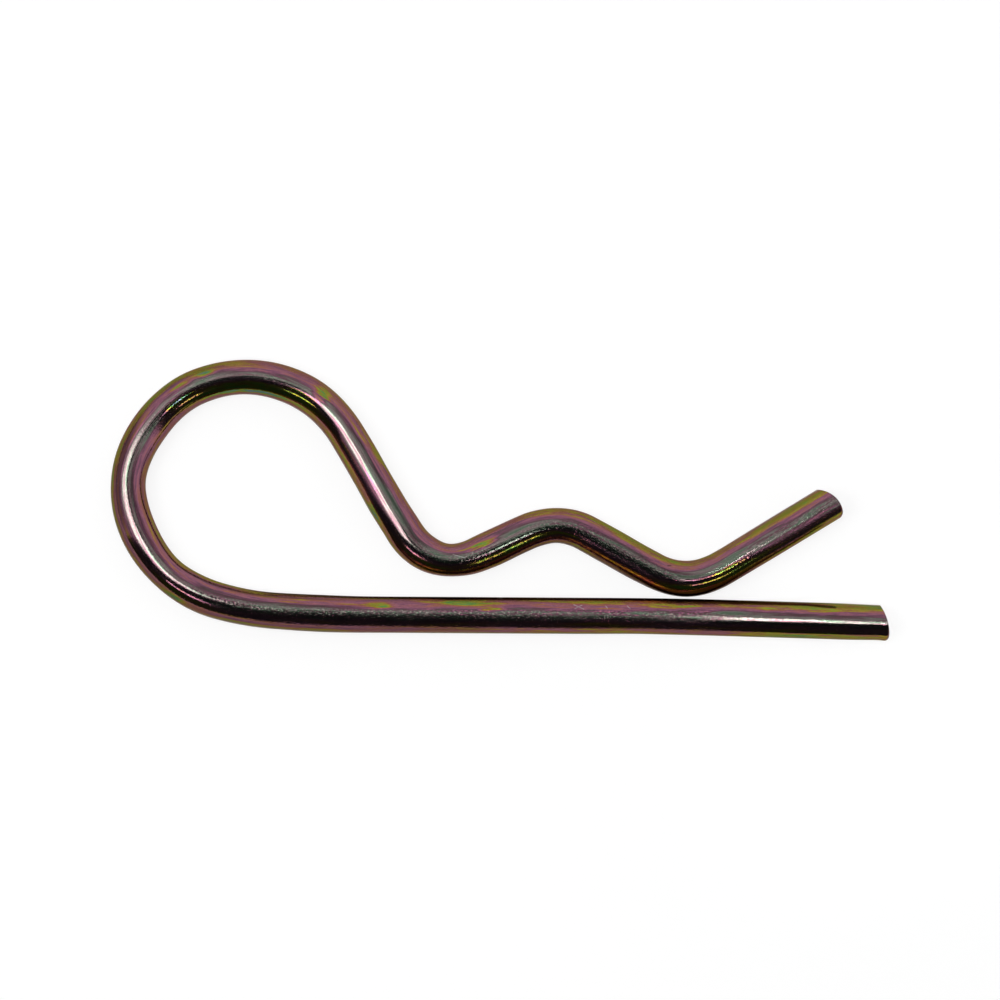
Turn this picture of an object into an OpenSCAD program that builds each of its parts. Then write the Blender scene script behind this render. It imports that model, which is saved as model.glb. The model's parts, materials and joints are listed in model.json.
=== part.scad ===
// R-clip (hairpin clip) for a hitch pin: one length of round spring wire, bent cold in one plane.
// The straight leg goes through the hitch pin's cross hole, and the waved leg snaps round its outside.
// The clip lies flat on Z = 0, with its origin under the middle of its outline.

/* [Wire] */
// Diameter of the spring wire
wire_d = 4; // [3:0.1:4.8]
// How much the tightly formed bends draw the wire's radius down
draw_down = 0.02; // [0.01:0.005:0.04]

/* [Hitch pin] */
// Diameter of the hitch pin that the hump is formed to hold
pin_d = 15.9; // [14:0.1:24]

/* [Straight leg] */
// From the hitch pin's centre to where the lead-in sets away from the waved leg
set_start = 7.2; // [2:0.1:12]
// Radius of the slight bend that sets the lead-in away
set_r = 470; // [200:10:900]
// Angle that the lead-in is set away
set_angle = 1.4; // [0.8:0.1:2]
// Straight lead-in, from the slight bend to the sheared end
lead_l = 17.9; // [12:0.1:40]
// Lean of the straight leg's sheared face, away from square
lead_lean = 14; // [0:1:20]
// Radius of the straight leg's crowned sheared face
lead_crown_r = 6.3; // [5:0.1:20]

/* [Bow] */
// Slope of the shank that comes down from the bow
shank_angle = 59.4; // [52:0.1:66]
// Inside radius of the soft bend where the leg begins to rise into the bow
soft_r = 160; // [80:5:300]
// Angle of the soft bend
soft_angle = 3.8; // [2:0.1:8]
// Inside radius of the heel
heel_r = 30; // [15:0.5:50]
// Angle of the heel
heel_angle = 11.2; // [5:0.1:20]
// Inside radius of the bow's underside
under_r = 11.7; // [8:0.1:16]
// Inside radius of the bow's back
back_r = 9.1; // [6:0.1:16]
// Angle of the bow's back
back_angle = 40; // [30:1:50]
// Inside radius of the bow's top
top_r = 11; // [8:0.1:16]
// Angle of the bow's top
top_angle = 127.3; // [118:0.1:136]

/* [Waved leg] */
// Inside radius of the dip at the foot of the shank
dip_r = 4.4; // [3:0.1:8]
// Clear height of the dip over the straight leg
dip_lift = 2.1; // [0.5:0.1:3]
// Slope of the ramp from the dip up to the hump
rise_angle = 24.8; // [18:0.1:32]
// Inside radius of the hump
hump_r = 5.2; // [3:0.1:9]
// Slope of the ramp from the hump down to the nip
fall_angle = 28.6; // [20:0.1:36]
// Inside radius of the nip, the second dip, which snaps past the hitch pin
nip_r = 5.4; // [3:0.1:9]
// Clear gap between the nip and the line of the straight leg
nip_gap = 0.15; // [0.1:0.05:2]
// Slope of the turned-out tip
tip_angle = 31.6; // [20:0.1:45]
// Straight length of the tip, from the nip to the sheared end
tip_l = 14.9; // [8:0.1:25]
// Lean of the tip's sheared face, away from square
tip_lean = 10; // [0:1:16]
// Radius of the tip's crowned sheared face
tip_crown_r = 3; // [2.8:0.1:12]

/* [Sheared ends] */
// Radius that the blade rolls over each cut's lower corner
roll_r = 0.45; // [0.2:0.05:0.8]

/* [Hidden] */

// The evenness of curves
$fn = 96;
// How far a full-diameter stretch sleeves over the drawn-down bend next to it
LAP = 0.2;

wire_r = wire_d / 2;

// Heights of the wire's centreline over the straight leg's
crest_h = pin_d / 2 + wire_r;
dip_h = wire_d + dip_lift;
nip_h = wire_d + nip_gap;

// Radius of a bend's centreline, from its inside radius
function mid_r(inside_r) = inside_r + wire_r;

// How far a right-hand bend goes along X and Y, between two headings
function bend_x(inside_r, from, to) = mid_r(inside_r) * (sin(from) - sin(to));
function bend_y(inside_r, from, to) = mid_r(inside_r) * (cos(to) - cos(from));

// Length of a straight ramp that drops by fall between two opposite bends
function ramp_l(fall, slope, r1, r2) =
    (fall - (mid_r(r1) + mid_r(r2)) * (1 - cos(slope))) / sin(slope);

rise_l = ramp_l(crest_h - dip_h, rise_angle, hump_r, dip_r);
fall_l = ramp_l(crest_h - nip_h, fall_angle, hump_r, nip_r);

// The bow's headings, walked from the shank over the top and back to the leg, seen from its far side.
// The underside takes up what is left of the turn.
top_end = shank_angle - top_angle;
back_end = top_end - back_angle;
under_end = heel_angle + soft_angle - 180;
under_angle = back_end - under_end;
heel_end = soft_angle - 180;

bow_drop = -(bend_y(top_r, shank_angle, top_end) + bend_y(back_r, top_end, back_end)
    + bend_y(under_r, back_end, under_end) + bend_y(heel_r, under_end, heel_end)
    + bend_y(soft_r, heel_end, -180));

// The shank is as long as the bow needs to come down onto the straight leg's line
dip_end_h = dip_h + mid_r(dip_r) * (1 - cos(shank_angle));
shank_l = (bow_drop - dip_end_h) / sin(shank_angle);

// Distances from the hitch pin's centre, towards the bow
dip_x = (mid_r(hump_r) + mid_r(dip_r)) * sin(rise_angle) + rise_l * cos(rise_angle);
shank_end_x = dip_x + mid_r(dip_r) * sin(shank_angle) + shank_l * cos(shank_angle);
back_start_x = shank_end_x + bend_x(top_r, shank_angle, top_end);
bow_end_x = back_start_x + bend_x(back_r, top_end, back_end)
    + bend_x(under_r, back_end, under_end) + bend_x(heel_r, under_end, heel_end)
    + bend_x(soft_r, heel_end, -180);
main_l = bow_end_x + set_start;

// The outline's edges, from the hitch pin's centre
left_x = -(back_start_x + bend_x(back_r, top_end, -90) + wire_r);
right_x = set_start + mid_r(set_r) * sin(set_angle) + lead_l * cos(set_angle);
top_y = dip_end_h + shank_l * sin(shank_angle) + bend_y(top_r, shank_angle, 0) + wire_r;
bottom_y = -mid_r(set_r) * (1 - cos(set_angle)) - lead_l * sin(set_angle) - wire_r;

// A straight stretch along +X, with what follows it
module run(l) {
    translate([-LAP, 0, 0]) rotate([0, 90, 0]) cylinder(h = l + 2 * LAP, r = wire_r);
    translate([l, 0, 0]) children();
}

// A bend that starts along +X and turns left, or right where turn is negative, with what follows it.
// thin is what the forming draws off the wire's radius; a full-diameter bend laps over its neighbours.
module bend(inside_r, turn, thin = draw_down) {
    side = sign(turn);
    r = mid_r(inside_r);
    lap = thin > 0 ? 0 : LAP / r * 180 / PI;
    translate([0, side * r, 0]) {
        rotate([0, 0, side > 0 ? -90 - lap : 90 + turn - lap])
            rotate_extrude(angle = abs(turn) + 2 * lap, $fn = 360)
                translate([r, 0]) circle(wire_r - thin, $fn = 96);
        rotate([0, 0, turn]) translate([0, -side * r, 0]) children();
    }
}

// What the shear takes off a wire that ends at X = 0: a crowned face that leans back towards +Y,
// and a rolled-over corner on the -Y side, cut a little deeper than tangent.
module shear(lean, crown_r) {
    centre = -crown_r * [cos(lean), sin(lean)];
    corner_x = centre[0] + sqrt(crown_r ^ 2 - (wire_r + centre[1]) ^ 2);
    bite = 0.9 * roll_r;
    linear_extrude(height = 2 * wire_d, center = true) {
        difference() {
            translate([centre[0], -0.6 * wire_d]) square([crown_r + 2 * wire_d, 1.2 * wire_d]);
            translate(centre) circle(crown_r);
        }
        translate([corner_x - bite, bite - wire_r])
            difference() {
                translate([0, -2 * roll_r]) square(2 * roll_r);
                circle(roll_r);
            }
    }
}

// A straight stretch that ends in a sheared face, rolled over on the side given
module sheared_run(l, lean, crown_r, side) {
    difference() {
        run(l + wire_r);
        translate([l, 0, 0]) rotate([side > 0 ? 0 : 180, 0, 0]) shear(lean, crown_r);
    }
}

// Places what follows at the hump's end, where it has turned down by slope
module at_hump_end(slope) {
    translate([0, crest_h - mid_r(hump_r), 0])
        rotate([0, 0, -slope]) translate([0, mid_r(hump_r), 0]) children();
}

module hump() {
    at_hump_end(-rise_angle) bend(hump_r, -rise_angle - fall_angle);
}

// From the hump down to the nip and out along the tip
module waved_end() {
    at_hump_end(fall_angle)
        run(fall_l)
        bend(nip_r, fall_angle + tip_angle)
        sheared_run(tip_l, tip_lean, tip_crown_r, 1);
}

// From the hump back through the dip, up the shank, round the bow and out along the straight leg
module bow_and_leg() {
    at_hump_end(rise_angle)
        run(rise_l)
        bend(dip_r, rise_angle + shank_angle)
        run(shank_l)
        bend(top_r, -top_angle)
        bend(back_r, -back_angle, thin = 0)
        bend(under_r, -under_angle)
        bend(heel_r, -heel_angle, thin = 0)
        bend(soft_r, -soft_angle)
        run(main_l)
        bend(set_r, set_angle)
        sheared_run(lead_l, lead_lean, lead_crown_r, -1);
}

module clip_wire() {
    color("#b3a27c")
        translate([-(left_x + right_x) / 2, -(top_y + bottom_y) / 2, wire_r])
            union() {
                hump();
                waved_end();
                rotate([0, 180, 0]) bow_and_leg();
            }
}

clip_wire();
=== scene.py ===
import json
import math

import bmesh
import bpy
import numpy as np
from mathutils import Matrix, Vector, noise


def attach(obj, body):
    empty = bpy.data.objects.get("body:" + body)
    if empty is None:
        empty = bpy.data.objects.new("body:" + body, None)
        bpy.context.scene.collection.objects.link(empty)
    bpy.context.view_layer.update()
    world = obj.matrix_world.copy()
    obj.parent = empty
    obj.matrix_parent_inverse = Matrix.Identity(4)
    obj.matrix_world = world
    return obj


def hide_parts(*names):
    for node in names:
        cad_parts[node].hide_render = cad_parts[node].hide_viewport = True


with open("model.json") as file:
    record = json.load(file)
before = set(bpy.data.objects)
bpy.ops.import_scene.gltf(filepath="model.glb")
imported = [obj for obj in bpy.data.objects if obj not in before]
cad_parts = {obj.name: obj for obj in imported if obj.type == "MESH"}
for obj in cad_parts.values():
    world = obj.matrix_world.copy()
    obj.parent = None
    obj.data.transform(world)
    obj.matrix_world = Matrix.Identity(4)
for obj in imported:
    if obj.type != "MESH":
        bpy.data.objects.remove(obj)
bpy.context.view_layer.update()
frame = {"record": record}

# An R-clip for a hitch pin: one bent wire, yellow-passivated zinc, both ends sheared.
# Lengths are in millimetres and angles in degrees until they reach Blender, which is in metres.
MM = 0.001

# ---- The wire and its path, with the same values as the part's source ----
WIRE_R = 2.0
PIN_R = 7.95
LEG_RUN = 17.9          # straight lead-in from the leg's sheared end
SET_R, SET_TURN = 470, 1.4
LEG_MAIN = 27.347       # straight leg from the set to the bow
SOFT_R, SOFT_TURN = 160, 3.8
HEEL_R, HEEL_TURN = 30, 11.2
UNDER_R, UNDER_TURN = 11.7, 57.1
BACK_R, BACK_TURN = 9.1, 40
TOP_R, TOP_TURN = 11, 127.3
SHANK_RUN = 12.165
DIP_R, DIP_TURN = 4.4, 84.2
RISE_RUN, RISE_ANGLE = 6.188, 24.8
HUMP_R, HUMP_TURN = 5.2, 53.4
FALL_RUN = 8.395
NIP_R, NIP_TURN = 5.4, 60.2
TIP_RUN = 14.9
START_HEADING = 180 - SET_TURN


def bend(inside_r, turn):
    """A bend by its inside radius: positive turns left, negative right."""
    return ("bend", inside_r + WIRE_R, turn)


def run(length):
    return ("run", length, 0)


PATH = (
    run(LEG_RUN),
    bend(SET_R, SET_TURN),
    run(LEG_MAIN),
    bend(SOFT_R, -SOFT_TURN),
    bend(HEEL_R, -HEEL_TURN),
    bend(UNDER_R, -UNDER_TURN),
    bend(BACK_R, -BACK_TURN),
    bend(TOP_R, -TOP_TURN),
    run(SHANK_RUN),
    bend(DIP_R, DIP_TURN),
    run(RISE_RUN),
    bend(HUMP_R, -HUMP_TURN),
    run(FALL_RUN),
    bend(NIP_R, NIP_TURN),
    run(TIP_RUN),
)
HUMP = 11               # the hump's place in PATH


def walk(path, heading):
    """Start length, start point, heading and curvature of each piece of the path, and its whole length."""
    pieces = []
    s, x, y, h = 0.0, 0.0, 0.0, math.radians(heading)
    for kind, size, turn in path:
        turn = math.radians(turn)
        length = size if kind == "run" else size * abs(turn)
        curve = turn / length
        pieces.append((s, x, y, h, curve))
        if kind == "run":
            x, y = x + length * math.cos(h), y + length * math.sin(h)
        else:
            x += (math.sin(h + turn) - math.sin(h)) / curve
            y -= (math.cos(h + turn) - math.cos(h)) / curve
        s, h = s + length, h + turn
    return np.array(pieces), s


PIECES, WIRE_LENGTH = walk(PATH, START_HEADING)


def on_path(s):
    """Points and headings at lengths s along the centreline, which carries on straight past both ends."""
    piece = np.clip(np.searchsorted(PIECES[:, 0], s, side="right") - 1, 0, len(PIECES) - 1)
    s0, x0, y0, h0, curve = np.moveaxis(PIECES[piece], -1, 0)
    d = s - s0
    h = h0 + curve * d
    bent = curve != 0
    k = np.where(bent, curve, 1.0)
    x = x0 + np.where(bent, (np.sin(h) - np.sin(h0)) / k, d * np.cos(h0))
    y = y0 + np.where(bent, (np.cos(h0) - np.cos(h)) / k, d * np.sin(h0))
    return np.stack([x, y], -1), h


# The crest of the hump stands over the hitch pin, whose centre the frame's mount gives.
pin_seat = next(m for m in frame["record"]["mounts"] if m["name"] == "pin_seat")
seat = np.array(pin_seat["pos_m"][:2]) / MM
crest, _ = on_path(np.array([PIECES[HUMP, 0] + math.radians(RISE_ANGLE) * (HUMP_R + WIRE_R)]))
OFFSET = seat + [0, PIN_R + WIRE_R] - crest[0]

# ---- The outline's waviness, taken for the bending rollers' marks. The first is the leg's burr. ----
# Place along the wire, reach along it, change of half width, shift left
ROLLER_MARKS = (
    (0.3, 0.35, 0.025, 0.020),
    (1.0, 2.2, -0.060, 0.000),
    (28.0, 3.5, -0.022, -0.020),
    (62.5, 4.0, 0.045, 0.000),
    (74.5, 3.0, 0.030, -0.020),
    (80.3, 2.4, -0.080, 0.045),
    (86.2, 2.8, 0.065, -0.030),
    (91.8, 2.2, -0.080, 0.065),
    (98.2, 2.8, 0.065, -0.085),
    (104.0, 1.8, 0.000, 0.045),
    (109.5, 4.5, -0.090, 0.000),
    (118.5, 2.6, 0.020, 0.045),
    (126.5, 2.4, 0.025, 0.045),
    (132.5, 2.2, 0.045, -0.030),
    (136.6, 2.2, 0.070, 0.095),
    (141.8, 1.5, -0.060, -0.060),
    (143.2, 2.2, -0.160, 0.000),
    (147.6, 1.9, 0.035, -0.045),
    (153.2, 1.3, 0.000, -0.045),
    (155.0, 1.8, -0.065, 0.000),
    (161.5, 3.2, 0.030, 0.000),
    (164.6, 1.8, 0.000, -0.040),
    (168.0, 1.7, -0.040, 0.035),
    (173.6, 1.5, 0.000, 0.050),
    (176.0, 3.6, -0.038, 0.000),
)

# ---- The sheared ends: lean of the cut, radius of its crown, and the fillets round it ----
LEG_CUT = (14, 6.3)
TIP_CUT = (10, 3.0)
CROWN_FLOOR = 0.01      # keeps the square root in a crown's height real
ROLL_R = 0.45           # where the blade entered
RIM_R = 0.06            # elsewhere

# ---- Mesh ----
AROUND = 96             # points round the wire
RING_STEP = 0.28        # spacing of rings along it
END_ZONE = 3.0          # length over which the rings lean into the cut
END_RINGS = 26
FILLET_STEPS = 6
FACE_RINGS = 22
FACE_CROWDING = 0.9     # below 1 the face's rings crowd toward its rim
END_CROWDING = 1.5      # above 1 the end zone's rings crowd toward the cut


def cut_face(v, lean, crown):
    """How far a sheared face stands out beyond the axis end, at v to the left of the outward axis."""
    middle = -crown * math.sin(math.radians(lean))
    height = np.sqrt(np.maximum(crown**2 - (v - middle) ** 2, CROWN_FLOOR))
    return height - crown * math.cos(math.radians(lean))


def roller_marks(s):
    width, shift = np.zeros_like(s), np.zeros_like(s)
    for place, reach, wider, left in ROLLER_MARKS:
        bump = np.exp(-(((s - place) / reach) ** 2))
        width += wider * bump
        shift += left * bump
    return width, shift


def ripple(points, scale, seed):
    """Smooth noise of about -1 to 1 at each point, whose features are scale millimetres along each axis."""
    p = points.reshape(-1, 3) / np.array(scale) + seed
    return np.array([noise.noise(Vector(q)) for q in p]).reshape(points.shape[:-1])


angle = np.linspace(0, 2 * math.pi, AROUND, endpoint=False)     # from the top of the wire towards its left
left, up = np.sin(angle), np.cos(angle)


def place_rings(s, rho):
    """Points of rings at lengths s and rho times the wire's radius, both (rings, AROUND)."""
    middle, heading = on_path(s)
    wider, shift = roller_marks(s)
    v = rho * left * (WIRE_R + wider) + shift
    x = middle[..., 0] - v * np.sin(heading) + OFFSET[0]
    y = middle[..., 1] + v * np.cos(heading) + OFFSET[1]
    z = WIRE_R + rho * up * WIRE_R
    return np.stack([x, y, z], -1)


def sheared_end(lean, crown, leg):
    """Rings from the middle of a sheared face out over its rim and back along the wire to END_ZONE.
    Gives how far each point is beyond the end, its share of the wire's radius, and 1 on the cut face, 0 off it.
    """
    side = -left if leg else left        # left as seen along the outward axis
    fillet = RIM_R + (ROLL_R - RIM_R) * np.clip(-side, 0, 1) ** 3
    rows = []
    for k in range(FACE_RINGS):
        rho = (k / FACE_RINGS) ** FACE_CROWDING * (1 - fillet / WIRE_R)
        rows.append((cut_face(rho * side * WIRE_R, lean, crown), rho, np.ones(AROUND)))
    for k in range(FILLET_STEPS + 1):
        turn = k / FILLET_STEPS * math.pi / 2
        rho = 1 - fillet / WIRE_R * (1 - math.sin(turn))
        out = cut_face(rho * side * WIRE_R, lean, crown) - fillet * (1 - math.cos(turn))
        rows.append((out, rho, np.full(AROUND, 1 - k / FILLET_STEPS)))
    last = rows[-1][0]
    for k in range(1, END_RINGS + 1):
        share = (k / END_RINGS) ** END_CROWDING
        rows.append((last + share * (-END_ZONE - last), np.ones(AROUND), np.zeros(AROUND)))
    return [np.array(column) for column in zip(*rows)]


def make_wire():
    leg_out, leg_rho, leg_cut = sheared_end(*LEG_CUT, leg=True)
    tip_out, tip_rho, tip_cut = sheared_end(*TIP_CUT, leg=False)
    count = round((WIRE_LENGTH - 2 * END_ZONE) / RING_STEP)
    body = np.linspace(END_ZONE, WIRE_LENGTH - END_ZONE, count + 1)[1:-1]
    s = np.concatenate([
        np.zeros_like(leg_out),
        np.repeat(body[:, None], AROUND, 1),
        np.full_like(tip_out, WIRE_LENGTH),
    ])
    rho = np.concatenate([leg_rho, np.ones((len(body), AROUND)), tip_rho[::-1]])
    beyond = np.concatenate([-leg_out, np.zeros((len(body), AROUND)), tip_out[::-1]])
    cut = np.concatenate([leg_cut, np.zeros((len(body), AROUND)), tip_cut[::-1]])
    s = s + beyond      # the run at either end is straight
    points = place_rings(s, rho)
    unbent = np.stack([s, rho * left * WIRE_R, rho * up * WIRE_R], -1)
    return points, unbent, cut


def grid_mesh(name, points, attributes):
    """A closed tube from a grid of rings, with a single point at each end."""
    rings, around = points.shape[:2]
    keep = np.concatenate([[0], np.arange(around, (rings - 1) * around), [(rings - 1) * around]])
    flat = points.reshape(-1, 3)[keep]
    first = 1 + np.arange(rings - 3)[:, None] * around
    j = np.arange(around)
    nxt = (j + 1) % around
    quads = np.stack([first + j, first + nxt, first + around + nxt, first + around + j], -1).reshape(-1, 4)
    faces = [tuple(q) for q in quads.tolist()]
    last_ring = 1 + (rings - 3) * around
    tail = len(flat) - 1
    faces += [(0, 1 + int(b), 1 + int(a)) for a, b in zip(j, nxt)]
    faces += [(tail, last_ring + int(a), last_ring + int(b)) for a, b in zip(j, nxt)]
    mesh = bpy.data.meshes.new(name)
    mesh.from_pydata((flat * MM).tolist(), [], faces)
    for key, values in attributes.items():
        values = values.reshape(rings * around, -1)[keep]
        kind = "FLOAT_VECTOR" if values.shape[1] == 3 else "FLOAT"
        layer = mesh.attributes.new(key, kind, "POINT")
        values = values.astype(np.float32).ravel()
        layer.data.foreach_set("vector" if kind == "FLOAT_VECTOR" else "value", values)
    mesh.shade_smooth()
    mesh.update()
    thing = bpy.data.objects.new(name, mesh)
    bpy.context.scene.collection.objects.link(thing)
    return thing


# ---- How the wire seems to lean, chosen so that reflections fall where the photograph has them. The mesh
# stays flat and round, so the lean is in the shading normals alone. ----
# Place along the wire, share of the radius by which reflections move to the left
LEANS = (
    (0, 0.015), (16, 0.01), (22, 0.0), (30, -0.02), (40, -0.04), (50, -0.06), (60, -0.11), (66, -0.10),
    (72, -0.12), (76, -0.10), (80, -0.06), (84, -0.08), (88, -0.03), (92, 0.04), (98, 0.04), (104, 0.05),
    (114, 0.07), (118, 0.10), (122, 0.13), (130, 0.12), (134, 0.08), (137, 0.04), (141, 0.05), (146, 0.02),
    (152, 0.02), (156, 0.08), (160, 0.11), (165, 0.13), (168, 0.09), (171, 0.08), (173, 0.06), (176, -0.03),
    (178, -0.03), (182, -0.11), (190, -0.12),
)
# Place along the wire, degrees by which it climbs
CLIMBS = (
    (66, 0), (74, -1), (81, -2), (88, 0), (116, 0), (121, 4), (134, 4), (138, 0), (167, 0), (170, -4),
    (172, -4), (174, 0), (178, 0), (181, -2), (190, -2),
)
LIFT = 13               # degrees by which the leg's inner flank turns up
LIFT_ALONG = ((4, 0), (9, 1), (60, 1), (72, 0))
# That flank, in degrees round the wire from its top: where it begins and is full, and the same at its foot
FLANK_TOP = (-33, -60)
FLANK_FOOT = (-125, -90)


def smooth(value, start, end):
    """0 at start, 1 at end and a soft S between them."""
    t = np.clip((value - start) / (end - start), 0, 1)
    return t * t * (3 - 2 * t)


def lean_normals(wire):
    """Turns the shading normals by LEANS and LIFT across the wire, and by CLIMBS along it."""
    mesh = wire.data
    count = len(mesh.vertices)
    normal, unbent, cut = np.empty(count * 3), np.empty(count * 3), np.empty(count)
    mesh.vertex_normals.foreach_get("vector", normal)
    mesh.attributes["unbent"].data.foreach_get("vector", unbent)
    mesh.attributes["cut"].data.foreach_get("value", cut)
    normal, unbent = normal.reshape(-1, 3), unbent.reshape(-1, 3)
    s = unbent[:, 0]
    _, heading = on_path(s)
    lean = -np.arcsin(np.interp(s, *zip(*LEANS)))
    round_wire = np.degrees(np.arctan2(unbent[:, 1], unbent[:, 2]))
    flank = smooth(round_wire, *FLANK_TOP) * smooth(round_wire, *FLANK_FOOT)
    lean += math.radians(LIFT) * flank * np.interp(s, *zip(*LIFT_ALONG))
    lean = (lean * (1 - cut))[:, None]
    along = np.stack([np.cos(heading), np.sin(heading), np.zeros(count)], -1)
    leaned = normal * np.cos(lean) - np.cross(along, normal) * np.sin(lean)
    climb = np.radians(np.interp(s, *zip(*CLIMBS))) * (1 - cut)
    leaned -= along * (np.tan(climb) * leaned[:, 2])[:, None]
    leaned /= np.linalg.norm(leaned, axis=1)[:, None]
    mesh.normals_split_custom_set_from_vertices(leaned.tolist())


# ---- The passivation film: its colour phase from the wire's top to its side, and stains that change it ----
FILM_ACROSS = (
    (0.0, 0.09), (0.12, 0.12), (0.22, 0.20), (0.30, 0.25), (0.38, 0.33), (0.46, 0.39), (0.60, 0.42),
    (0.75, 0.45), (0.88, 0.48), (1.0, 0.50),
)
CUT_FILM = 0.42         # on the sheared faces
PAINTED_RIM_SHADE = 0.85         # how dark the painted shade on the rims of those faces is, 0 to 1
STAIN_FRAY = 0.8        # how far along the wire the stains' ends are frayed
UNDERSIDE_STAINS = 0.5  # how strong they are on the underside, which the photograph doesn't show
# Place along the wire, share of the radius to the left of its top, half length, half width as that share, and
# the phase added
STAINS = (
    (7.0, 0.84, 9.0, 0.22, 0.22),
    (8.0, -0.86, 8.0, 0.14, 0.13),
    (9.0, -0.62, 6.5, 0.14, 0.24),
    (1.0, -0.85, 2.5, 0.20, 0.18),
    (17.5, -0.28, 1.8, 0.13, -0.22),
    (24.5, -0.60, 3.0, 0.14, 0.22),
    (27.5, -0.20, 1.0, 0.10, -0.18),
    (31.0, -0.80, 5.0, 0.08, 0.14),
    (43.5, -0.35, 1.0, 0.13, 0.36),
    (46.5, -0.68, 4.0, 0.14, 0.22),
    (56.0, -0.50, 1.4, 0.18, 0.27),
    (50.0, -0.18, 30.0, 0.10, -0.07),
    (68.0, -0.36, 9.0, 0.16, -0.14),
    (8.0, -0.28, 8.0, 0.10, -0.06),
    (40.0, 0.98, 30.0, 0.05, 0.14),
    (72.0, 0.90, 3.0, 0.10, 0.14),
    (78.0, 0.38, 4.5, 0.22, 0.18),
    (78.5, 0.80, 1.2, 0.10, 0.28),
    (76.0, -0.94, 9.0, 0.08, 0.12),
    (92.0, 0.88, 8.0, 0.12, 0.12),
    (96.5, -0.50, 4.0, 0.34, -0.05),
    (95.0, 0.24, 10.0, 0.10, -0.06),
    (102.6, -0.13, 2.4, 0.12, 0.70),
    (103.0, 0.86, 6.0, 0.14, 0.14),
    (103.5, 0.45, 1.1, 0.12, 0.28),
    (106.3, 0.55, 0.9, 0.18, 0.36),
    (111.0, -0.42, 11.0, 0.34, 0.36),
    (99.0, -0.35, 3.0, 0.28, -0.08),
    (103.5, -0.43, 1.8, 0.12, -0.10),
    (117.0, -0.32, 2.2, 0.14, 0.12),
    (112.0, -0.80, 7.0, 0.07, 0.30),
    (119.0, 0.38, 0.9, 0.42, 0.40),
    (117.4, 0.08, 2.0, 0.16, -0.13),
    (116.9, -0.09, 1.7, 0.11, 0.55),
    (127.8, 0.90, 1.4, 0.12, 0.18),
    (131.0, 0.46, 6.0, 0.14, -0.20),
    (129.0, -0.10, 11.0, 0.12, -0.05),
    (127.0, -0.80, 5.0, 0.14, 0.10),
    (133.0, -0.80, 1.5, 0.14, 0.34),
    (139.5, -0.42, 2.5, 0.35, 0.14),
    (146.6, 0.40, 1.8, 0.20, 0.47),
    (149.5, 0.55, 3.0, 0.24, -0.18),
    (150.0, -0.12, 4.0, 0.14, -0.30),
    (176.5, -0.08, 3.5, 0.16, -0.16),
    (165.0, -0.82, 13.0, 0.16, 0.08),
    (150.0, -0.38, 7.0, 0.22, 0.30),
    (163.0, 0.82, 11.0, 0.18, 0.18),
    (175.5, -0.13, 3.0, 0.10, 0.60),
    (174.0, -0.44, 6.5, 0.26, 0.34),
    (177.0, 0.18, 2.4, 0.22, -0.18),
    (184.5, 0.74, 6.0, 0.20, 0.18),
    (187.0, -0.80, 4.0, 0.16, 0.18),
    (146.0, 0.30, 47.0, 0.20, -0.12),
)
# Painted shade: dark lines along the wire that darken the reflections on its flanks and dim the bow's
# highlight.
# From and to along the wire, share of the radius to the left, half width and depth
PAINTED_SHADE_LINES = (
    (7.0, 30.0, -0.99, 0.07, 0.70),
    (26.0, 70.0, -0.98, 0.10, 0.85),
    (62.0, 92.0, -0.77, 0.03, 0.55),
    (44.0, 108.0, 0.76, 0.12, 0.32),
    (1.0, 18.0, -0.28, 0.10, 0.25),
    (58.0, 78.0, -0.38, 0.12, 0.30),
    (87.0, 98.0, 0.22, 0.14, 0.22),
    (60.0, 90.0, 0.92, 0.10, 0.20),
    (148.0, 178.0, -0.97, 0.10, 0.70),
)
# How gritty the wire's skin is, by place along it
GRIT_ALONG = (
    (0, 0.05), (11, 0.08), (15, 0.30), (20, 1.0), (70, 1.0), (78, 0.25), (98, 0.25), (104, 0.2), (110, 0.25),
    (114, 0.4), (117, 0.25), (121, 0.08), (136, 0.10), (140, 0.6), (145, 0.8), (148, 0.35), (153, 0.5),
    (156, 0.9), (169, 0.9), (171, 0.25), (178, 0.35), (182, 0.5), (189, 0.5),
)


def film_phase(unbent):
    """Colour phase of the even film, and what the stains add to it."""
    s, v = unbent[..., 0], unbent[..., 1] / WIRE_R
    top = unbent[..., 2] > 0
    stained = np.zeros_like(s)
    fray = STAIN_FRAY * ripple(unbent, (2.5, 0.25, 0.25), 5)
    for place, side, half_length, half_width, more in STAINS:
        along = (s + fray * min(half_length, 2.0) - place) / half_length
        far = along**2 + ((v - side) / half_width) ** 2
        stained += np.where(top, more, UNDERSIDE_STAINS * more) * np.exp(-far**1.5)
    return np.interp(np.abs(v), *zip(*FILM_ACROSS)), stained


def painted_shade_lines(unbent):
    """How dark the painted shade lines make each point, 0 to 1."""
    s, v = unbent[..., 0], unbent[..., 1] / WIRE_R
    dark = np.zeros_like(s)
    for start, end, side, half_width, depth in PAINTED_SHADE_LINES:
        along = np.clip(np.minimum(s - start, end - s) / 4 + 0.5, 0, 1)
        dark = np.maximum(dark, depth * along * np.exp(-(((v - side) / half_width) ** 2)))
    return dark


points, unbent, cut = make_wire()
film, stained = film_phase(unbent)
film += (CUT_FILM - film) * cut
stained *= 1 - cut
# Painted shade: the dark lines along the wire, and a dark ring on the rim of each cut face
dark = np.maximum(painted_shade_lines(unbent), PAINTED_RIM_SHADE * (1 - np.abs(2 * cut - 1)))
grit = np.interp(unbent[..., 0], *zip(*GRIT_ALONG)) * (1 - cut)
wire = grid_mesh(
    "clip_wire_body", points,
    {"unbent": unbent, "cut": cut, "film": film, "stained": stained, "dark": dark, "grit": grit},
)
lean_normals(wire)
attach(wire, "root")
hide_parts("clip_wire")

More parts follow.
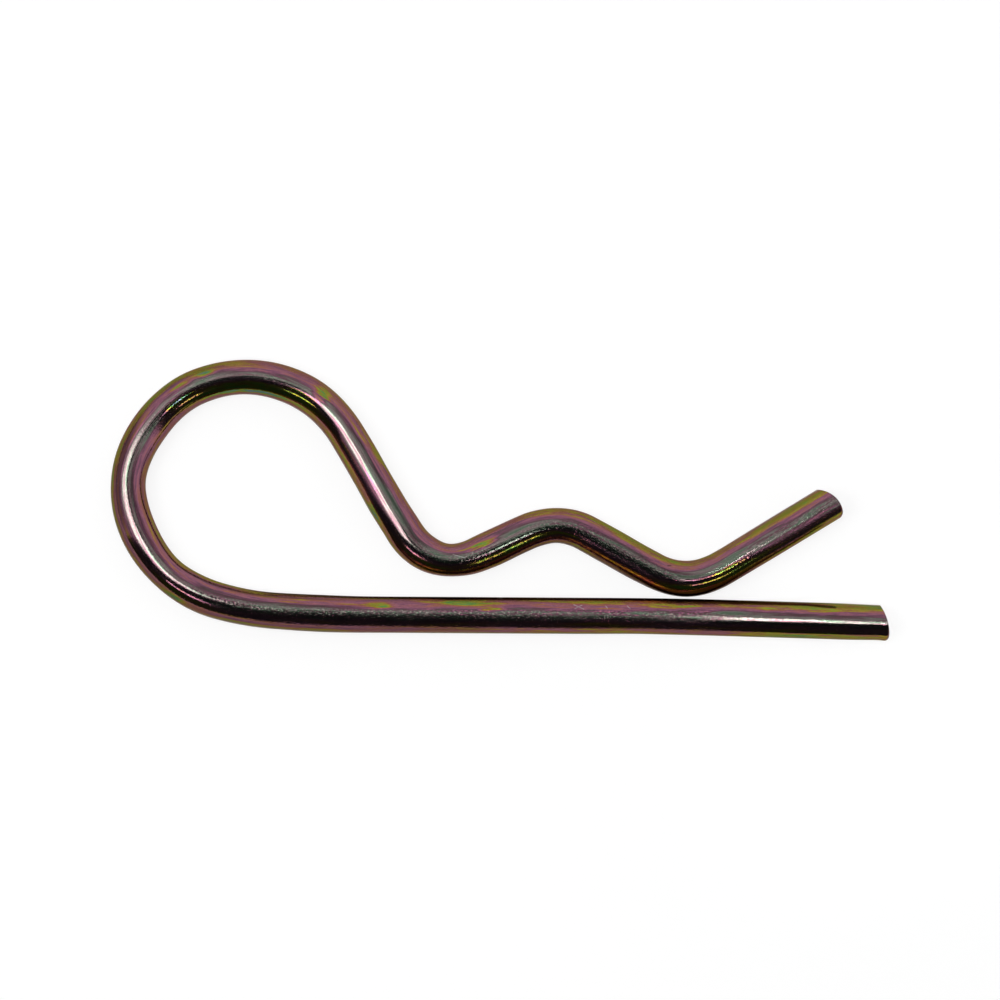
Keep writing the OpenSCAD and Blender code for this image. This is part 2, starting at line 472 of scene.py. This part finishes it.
# ---- Node helpers ----
def put(tree, value, socket):
    """Links a socket to another, or sets its own value."""
    if isinstance(value, bpy.types.NodeSocket):
        tree.links.new(value, socket)
    else:
        socket.default_value = value


def calc(tree, operation, *values, clamp=False):
    node = tree.nodes.new("ShaderNodeMath")
    node.operation = operation
    node.use_clamp = clamp
    for value, socket in zip(values, node.inputs):
        put(tree, value, socket)
    return node.outputs[0]


def vector_calc(tree, operation, *values):
    node = tree.nodes.new("ShaderNodeVectorMath")
    node.operation = operation
    sockets = [node.inputs[0], node.inputs["Scale"]] if operation == "SCALE" else node.inputs
    for value, socket in zip(values, sockets):
        put(tree, value, socket)
    return node.outputs["Value" if operation in ("DOT_PRODUCT", "LENGTH") else "Vector"]


def remap(tree, value, low, high, to_low=0.0, to_high=1.0, smooth=True):
    node = tree.nodes.new("ShaderNodeMapRange")
    node.interpolation_type = "SMOOTHSTEP" if smooth else "LINEAR"
    names = ("Value", "From Min", "From Max", "To Min", "To Max")
    for socket, v in zip(names, (value, low, high, to_low, to_high)):
        put(tree, v, node.inputs[socket])
    return node.outputs["Result"]


def attribute(tree, name, output="Fac"):
    node = tree.nodes.new("ShaderNodeAttribute")
    node.attribute_name = name
    return node.outputs[output]


def grain(tree, place, size, detail=2.0, roughness=0.5, offset=(0, 0, 0)):
    """Noise of 0 to 1 whose features are size = (along, across, across) millimetres."""
    scaled = vector_calc(tree, "DIVIDE", place, size)
    moved = vector_calc(tree, "ADD", scaled, offset)
    node = tree.nodes.new("ShaderNodeTexNoise")
    put(tree, moved, node.inputs["Vector"])
    node.inputs["Scale"].default_value = 1
    node.inputs["Detail"].default_value = detail
    node.inputs["Roughness"].default_value = roughness
    return node.outputs["Fac"]


def colour_ramp(tree, fac, stops):
    node = tree.nodes.new("ShaderNodeValToRGB")
    ramp = node.color_ramp
    while len(ramp.elements) < len(stops):
        ramp.elements.new(0.5)
    for element, (position, colour) in zip(ramp.elements, stops):
        element.position = position
        element.color = (*colour, 1)
    put(tree, fac, node.inputs["Fac"])
    return node.outputs["Color"]


def blend_colours(tree, fac, a, b):
    node = tree.nodes.new("ShaderNodeMix")
    node.data_type = "RGBA"
    put(tree, fac, node.inputs[0])
    put(tree, a, node.inputs[6])
    put(tree, b, node.inputs[7])
    return node.outputs[2]


# ---- Zinc plate with its yellow passivation film ----
FILM_COLOURS = (
    (0.00, (0.105, 0.135, 0.100)),  # green grey
    (0.09, (0.165, 0.140, 0.132)),  # bare-looking grey
    (0.20, (0.108, 0.060, 0.068)),  # violet grey
    (0.30, (0.196, 0.077, 0.126)),  # magenta
    (0.40, (0.268, 0.104, 0.137)),  # pink
    (0.49, (0.270, 0.100, 0.072)),  # salmon
    (0.60, (0.290, 0.210, 0.022)),  # olive yellow
    (0.71, (0.175, 0.245, 0.030)),  # olive green
    (0.82, (0.080, 0.210, 0.060)),  # green
    (0.92, (0.085, 0.175, 0.155)),  # teal
    (1.00, (0.140, 0.115, 0.210)),  # blue violet
)
BARE_ZINC = (0.42, 0.42, 0.40, 1)
# Scratches and specks through the film: from and to, as place along the wire and share of the radius, and the
# half width. Nicks are the same, and dark.
SCRATCHES = (
    ((33.5, -0.38), (34.6, -0.62), 0.06),
    ((34.5, -0.40), (33.7, -0.60), 0.05),
    ((28.4, -0.42), (28.7, -0.56), 0.05),
    ((30.9, -0.44), (31.1, -0.56), 0.05),
    ((42.5, -0.96), (42.9, -0.97), 0.14),
    ((54.0, 0.02), (54.15, 0.0), 0.08),
    ((62.4, 0.02), (62.6, 0.0), 0.09),
    ((142.9, 0.36), (144.3, 0.04), 0.06),
    ((160.7, 0.06), (161.2, -0.16), 0.05),
)
NICKS = (
    ((168.2, 0.56), (168.6, 0.61), 0.09),
    ((26.9, 0.80), (27.0, 0.60), 0.04),
)
PAINTED_FLANK_SHADE = 0.76      # painted shade: how much of its colour the film keeps on the wire's flanks
FILM_EDGE = (0.6, 0.5, 0.45)        # how much of a metal's whitening is left where the film is seen edge on


def marks_on(tree, place, marks):
    """1 on any of the short straight marks, and 0 away from them."""
    flat = (1, 1, 0.2)      # how much lengths count along the wire, across it and in height
    place = vector_calc(tree, "MULTIPLY", place, flat)
    found = 0.0
    for *ends, half_width in marks:
        start, end = (Vector((s, v * WIRE_R, flat[2] * WIRE_R * math.sqrt(1 - v * v))) for s, v in ends)
        line = end - start
        away = vector_calc(tree, "SUBTRACT", place, tuple(start))
        reach = vector_calc(tree, "DOT_PRODUCT", away, tuple(line))
        share = calc(tree, "MULTIPLY", reach, 1 / line.length_squared, clamp=True)
        away = vector_calc(tree, "SUBTRACT", away, vector_calc(tree, "SCALE", tuple(line), share))
        here = remap(tree, vector_calc(tree, "LENGTH", away), 0.3 * half_width, half_width, 1.0, 0.0)
        found = calc(tree, "MAXIMUM", found, here)
    return found


def zinc_plate():
    material = bpy.data.materials.new("zinc_plate_looks")
    material.use_nodes = True
    tree = material.node_tree
    shader = tree.nodes["Principled BSDF"]
    shader.inputs["Metallic"].default_value = 1
    place = attribute(tree, "unbent", "Vector")
    grit = attribute(tree, "grit")

    def spread(size, detail=2.0, roughness=0.5, offset=(0, 0, 0)):
        """Grain stretched to its full range of -1 to 1."""
        return remap(tree, grain(tree, place, size, detail, roughness, offset), 0.3, 0.7, -1, 1, smooth=False)

    streaks = spread((9.0, 0.5, 0.5), 3.0, 0.55)
    bands = spread((4.0, 0.28, 0.28), 2.0, 0.5, (2, 5, 8))
    wisps = spread((1.6, 0.16, 0.16), 3.0, 0.65, (7, 3, 1))
    specks = spread((0.30, 0.15, 0.15), 1.0, 0.5, (1, 9, 5))
    dots = spread((0.19, 0.12, 0.12), 0.0, 0.5, (8, 2, 6))
    lines = spread((14.0, 0.09, 0.09), 2.0, 0.6, (4, 4, 4))

    ragged = calc(tree, "MULTIPLY_ADD", wisps, 0.4, 1.0)
    phase = calc(tree, "MULTIPLY_ADD", attribute(tree, "stained"), ragged, attribute(tree, "film"))
    phase = calc(tree, "MULTIPLY_ADD", streaks, 0.10, phase)
    phase = calc(tree, "MULTIPLY_ADD", bands, 0.11, phase)
    phase = calc(tree, "MULTIPLY_ADD", wisps, 0.06, phase)
    across = calc(tree, "ABSOLUTE", vector_calc(tree, "DOT_PRODUCT", place, (0, 1 / WIRE_R, 0)))
    crown = calc(tree, "MULTIPLY", remap(tree, across, 0.12, 0.42, 1.0, 0.0), grit)
    phase = calc(tree, "MULTIPLY_ADD", calc(tree, "MULTIPLY", specks, crown), 0.13, phase)
    colour = colour_ramp(tree, phase, FILM_COLOURS)
    dull = calc(tree, "MULTIPLY_ADD", specks, 0.5, wisps)
    shade = calc(tree, "MULTIPLY_ADD", dull, 0.14, 1.0)
    # Painted glints: bright specks on the gritty crown, where its grain would catch the light
    painted_glints = calc(tree, "MULTIPLY_ADD", remap(tree, dots, 0.1, 1.0), 0.9, -0.12)
    shade = calc(tree, "MULTIPLY_ADD", painted_glints, crown, shade)
    # Painted shade on the flanks, which darkens their reflections
    shade = calc(tree, "MULTIPLY", shade, remap(tree, across, 0.60, 0.80, 1.0, PAINTED_FLANK_SHADE))
    # Painted shade from the dark lines and the cut faces' rims darkens the colour
    lit = calc(tree, "SUBTRACT", 1.0, attribute(tree, "dark"))
    shade = calc(tree, "MULTIPLY", shade, lit)
    cut = attribute(tree, "cut")
    shade = calc(tree, "MULTIPLY", shade, calc(tree, "MULTIPLY_ADD", cut, -0.3, 1.0))
    shade = calc(tree, "MULTIPLY", shade, calc(tree, "MULTIPLY_ADD", marks_on(tree, place, NICKS), -0.6, 1.0))
    colour = vector_calc(tree, "SCALE", colour, shade)
    scratches, strength = marks_on(tree, place, SCRATCHES), remap(tree, wisps, -1.2, 0.4, 0.2, 0.6)
    scratched = calc(tree, "MULTIPLY", scratches, strength)
    put(tree, blend_colours(tree, scratched, colour, BARE_ZINC), shader.inputs["Base Color"])
    shader.inputs["Specular Tint"].default_value = (*FILM_EDGE, 1)
    shader.inputs["Coat Weight"].default_value = 0.15
    shader.inputs["Coat Roughness"].default_value = 0.25

    roughness = calc(tree, "MULTIPLY_ADD", wisps, 0.02, 0.08)
    roughness = calc(tree, "MULTIPLY_ADD", grit, 0.05, roughness)
    roughness = calc(tree, "MULTIPLY_ADD", cut, 0.22, roughness)
    roughness = calc(tree, "MULTIPLY_ADD", scratched, 0.15, roughness)
    put(tree, roughness, shader.inputs["Roughness"])

    pits = remap(tree, dots, 0.3, 1.0, 0, 0.9)
    height = calc(tree, "ADD", specks, pits)
    height = calc(tree, "MULTIPLY", height, calc(tree, "MULTIPLY_ADD", cut, 1.5, grit))
    height = calc(tree, "MULTIPLY_ADD", lines, 0.08, height)
    bump = tree.nodes.new("ShaderNodeBump")
    bump.inputs["Strength"].default_value = 1
    bump.inputs["Distance"].default_value = 0.0035 * MM
    put(tree, height, bump.inputs["Height"])
    put(tree, bump.outputs[0], shader.inputs["Normal"])
    return material


wire.data.materials.append(zinc_plate())

# ---- Floor: white paper, which the camera sees nearly white and which keeps the clip's shadow ----
FLOOR_HALF = 1500
FLOOR_SHADE = 0.9
FLOOR_WHITE = 0.80      # share of the floor's look that is plain white, so its shadow stays light
FLOOR_GLOW = 1.06
FLOOR_GLOSSY = 0.25     # how much of that white the metal's reflections see, so contact shadows stay in them


def make_floor():
    mesh = bpy.data.meshes.new("floor")
    corners = [(x * FLOOR_HALF * MM, y * FLOOR_HALF * MM, 0) for x, y in ((-1, -1), (1, -1), (1, 1), (-1, 1))]
    mesh.from_pydata(corners, [], [(0, 1, 2, 3)])
    floor = bpy.data.objects.new("floor", mesh)
    bpy.context.scene.collection.objects.link(floor)
    paper = bpy.data.materials.new("floor_paper")
    paper.use_nodes = True
    tree = paper.node_tree
    matt = tree.nodes["Principled BSDF"]
    matt.inputs["Base Color"].default_value = (FLOOR_SHADE, FLOOR_SHADE, FLOOR_SHADE, 1)
    matt.inputs["Roughness"].default_value = 1
    matt.inputs["Specular IOR Level"].default_value = 0
    white = tree.nodes.new("ShaderNodeEmission")
    white.inputs["Color"].default_value = (1, 1, 1, 1)
    white.inputs["Strength"].default_value = FLOOR_GLOW
    mix = tree.nodes.new("ShaderNodeMixShader")
    ray = tree.nodes.new("ShaderNodeLightPath").outputs
    seen = calc(tree, "MULTIPLY_ADD", ray["Is Glossy Ray"], FLOOR_GLOSSY, ray["Is Camera Ray"])
    put(tree, calc(tree, "MULTIPLY", seen, FLOOR_WHITE), mix.inputs[0])
    put(tree, matt.outputs[0], mix.inputs[1])
    put(tree, white.outputs[0], mix.inputs[2])
    put(tree, mix.outputs[0], tree.nodes["Material Output"].inputs["Surface"])
    mesh.materials.append(paper)


make_floor()

# ---- Studio: a white tent over the clip, with a dark doorway, a bright window on its left, and lamps ----
# Directions in the tent are degrees from overhead toward +X and toward +Y. Each pane is a convex patch of the
# tent: its corners anticlockwise, how soft its edge is in degrees, and its level.
TENT_R = 450
TENT_LEVEL = 0.92
FAR_LEFT_WALL = ((-45, -16), (-45, 20), (-80, 70), (-105, 25), (-95, -38))
DULL_TOP = ((12, -6), (34, -12), (44, 8), (20, 36), (10, 16))
DOORWAY = ((2, -4.5), (-46, -17.5), (-62, -23.5), (-100, -40), (-60, -85), (0, -105), (78, -70), (78, -61))
DOORWAY_TOP = ((-9, 4), (-9, -9), (-1, -7.5), (-1.5, 3))
WALL_BY_WINDOW = ((-3, 5), (-1, 14), (-30, 28), (-50, 12), (-50, -10))
WINDOW_GLOW = ((-10.5, -9), (-13, 6), (-44, 24), (-50, 5), (-48, -15))
WINDOW = ((-10, -10), (-13, 4), (-30, 14), (-38, 3), (-34, -13))
# Each is laid over those before it.
PANES = (
    (FAR_LEFT_WALL, 8.0, 0.32),
    (DULL_TOP, 7.0, 0.38),
    (DOORWAY, 1.5, 0.030),
    (DOORWAY_TOP, 2.0, 0.030),
    (WALL_BY_WINDOW, 3.0, 1.35),
    (WINDOW_GLOW, 3.0, 1.6),
    (WINDOW, 3.0, 7.5),
)
# The doorway's dim light is greenish; everything brighter is white
TENT_COLOURS = ((0.0, (0.75, 1.0, 0.9)), (0.06, (0.75, 1.0, 0.9)), (0.2, (1.0, 1.0, 1.0)))


def direction(x, y):
    """The unit vector toward a direction in the tent."""
    polar, azimuth = math.radians(math.hypot(x, y)), math.atan2(y, x)
    return Vector((math.sin(polar) * math.cos(azimuth), math.sin(polar) * math.sin(azimuth), math.cos(polar)))


def pane(tree, way, below, corners, edge, level):
    """The tent's level with a pane laid over what is below."""
    cover = 1.0
    edge = math.sin(math.radians(edge))
    for here, after in zip(corners, corners[1:] + corners[:1]):
        inward = direction(*here).cross(direction(*after)).normalized()
        side = vector_calc(tree, "DOT_PRODUCT", way, inward)
        cover = calc(tree, "MULTIPLY", cover, remap(tree, side, -edge, edge))
    more = calc(tree, "SUBTRACT", level, below)
    return calc(tree, "MULTIPLY_ADD", more, cover, below)


def make_tent():
    mesh = bpy.data.meshes.new("tent")
    shape = bmesh.new()
    bmesh.ops.create_uvsphere(shape, u_segments=96, v_segments=48, radius=TENT_R * MM)
    shape.to_mesh(mesh)
    shape.free()
    tent = bpy.data.objects.new("tent", mesh)
    bpy.context.scene.collection.objects.link(tent)
    tent.visible_camera = False
    cloth = bpy.data.materials.new("tent_cloth")
    cloth.use_nodes = True
    tree = cloth.node_tree
    tree.nodes.remove(tree.nodes["Principled BSDF"])
    glow = tree.nodes.new("ShaderNodeEmission")
    place = tree.nodes.new("ShaderNodeNewGeometry").outputs["Position"]
    way = vector_calc(tree, "NORMALIZE", place)
    level = TENT_LEVEL
    for corners, edge, pane_level in PANES:
        level = pane(tree, way, level, corners, edge, pane_level)
    put(tree, colour_ramp(tree, level, TENT_COLOURS), glow.inputs["Color"])
    put(tree, level, glow.inputs["Strength"])
    put(tree, glow.outputs[0], tree.nodes["Material Output"].inputs["Surface"])
    cloth.cycles.emission_sampling = "NONE"
    mesh.materials.append(cloth)


def make_world():
    """White where the camera sees it, and as the tent elsewhere."""
    world = bpy.data.worlds.new("studio")
    bpy.context.scene.world = world
    world.use_nodes = True
    tree = world.node_tree
    background = tree.nodes["Background"]
    background.inputs["Color"].default_value = (1, 1, 1, 1)
    camera_ray = tree.nodes.new("ShaderNodeLightPath").outputs["Is Camera Ray"]
    strength = calc(tree, "MULTIPLY_ADD", camera_ray, 1 - TENT_LEVEL, TENT_LEVEL)
    put(tree, strength, background.inputs["Strength"])


make_tent()
make_world()

LAMP_FAR = 440


def lamp(name, toward, size, radiance, turn=0, aim=(0, 0), spread=180):
    """An area lamp in a direction in the tent, facing a point on the floor in millimetres.

    Its size is in degrees along X and along Y, before it is turned anticlockwise as the picture shows it.
    Its radiance is the one straight ahead of it, which a narrow spread would otherwise raise.
    """
    place = direction(*toward) * LAMP_FAR * MM
    back = (place - Vector((*aim, 0)) * MM).normalized()
    along = Vector((math.cos(math.radians(turn)), math.sin(math.radians(turn)), 0))
    across = back.cross(along).normalized()
    along = across.cross(back).normalized()
    data = bpy.data.lights.new(name, "AREA")
    data.shape = "RECTANGLE"
    data.size = 2 * LAMP_FAR * MM * math.tan(math.radians(size[0] / 2))
    data.size_y = 2 * LAMP_FAR * MM * math.tan(math.radians(size[1] / 2))
    half = math.radians(spread / 2)
    focus = math.tan(half) / (math.tan(half) - half)
    data.energy = radiance / focus * math.pi * data.size * data.size_y
    data.spread = math.radians(spread)
    thing = bpy.data.objects.new(name, data)
    thing.matrix_world = Matrix((along, across, back)).transposed().to_4x4()
    thing.location = place
    thing.visible_camera = False
    bpy.context.scene.collection.objects.link(thing)


for k, y in enumerate((2, -2, -6, -10)):
    lamp(f"louvre_{k}", (6.7, y), (5.8, 4), 128, turn=6, aim=(50, -22), spread=3.5)
lamp("strip_bow", (9.3, -16.9), (6.5, 2.6), 13.0, turn=43, aim=(-36, 11), spread=12)
lamp("strip_hump", (8.2, -18.3), (3.4, 2.6), 18.0, turn=43, aim=(1, -4), spread=5)
lamp("strip_valley", (12.5, -20.5), (5.0, 3.0), 30.0, turn=20, aim=(21, -9), spread=6)
lamp("front_left", (-30.5, -38.2), (14.5, 2.9), 6.5, turn=-27)
lamp("front_right", (23.3, -48.3), (13, 2.4), 6.8, turn=31)

# ---- Camera: straight above. Its distance suits the reflections; the rest was fitted to the outline. ----
VIEW_WIDTH = 110.197    # of the picture at the wire's middle height
VIEW_FROM = 1000.0
SENSOR = 36
VIEW_CENTRE = (0.070, -0.045)
ROLL = 0.337
camera_data = bpy.data.cameras.new("camera")
camera_data.sensor_width = SENSOR
camera_data.lens = SENSOR * VIEW_FROM / VIEW_WIDTH
camera_data.clip_start, camera_data.clip_end = 0.01, 10
camera = bpy.data.objects.new("camera", camera_data)
camera.location = (VIEW_CENTRE[0] * MM, VIEW_CENTRE[1] * MM, (VIEW_FROM + WIRE_R) * MM)
camera.rotation_euler = (0, 0, math.radians(ROLL))
bpy.context.scene.collection.objects.link(camera)
bpy.context.scene.camera = camera
bpy.context.scene.view_settings.view_transform = "Standard"
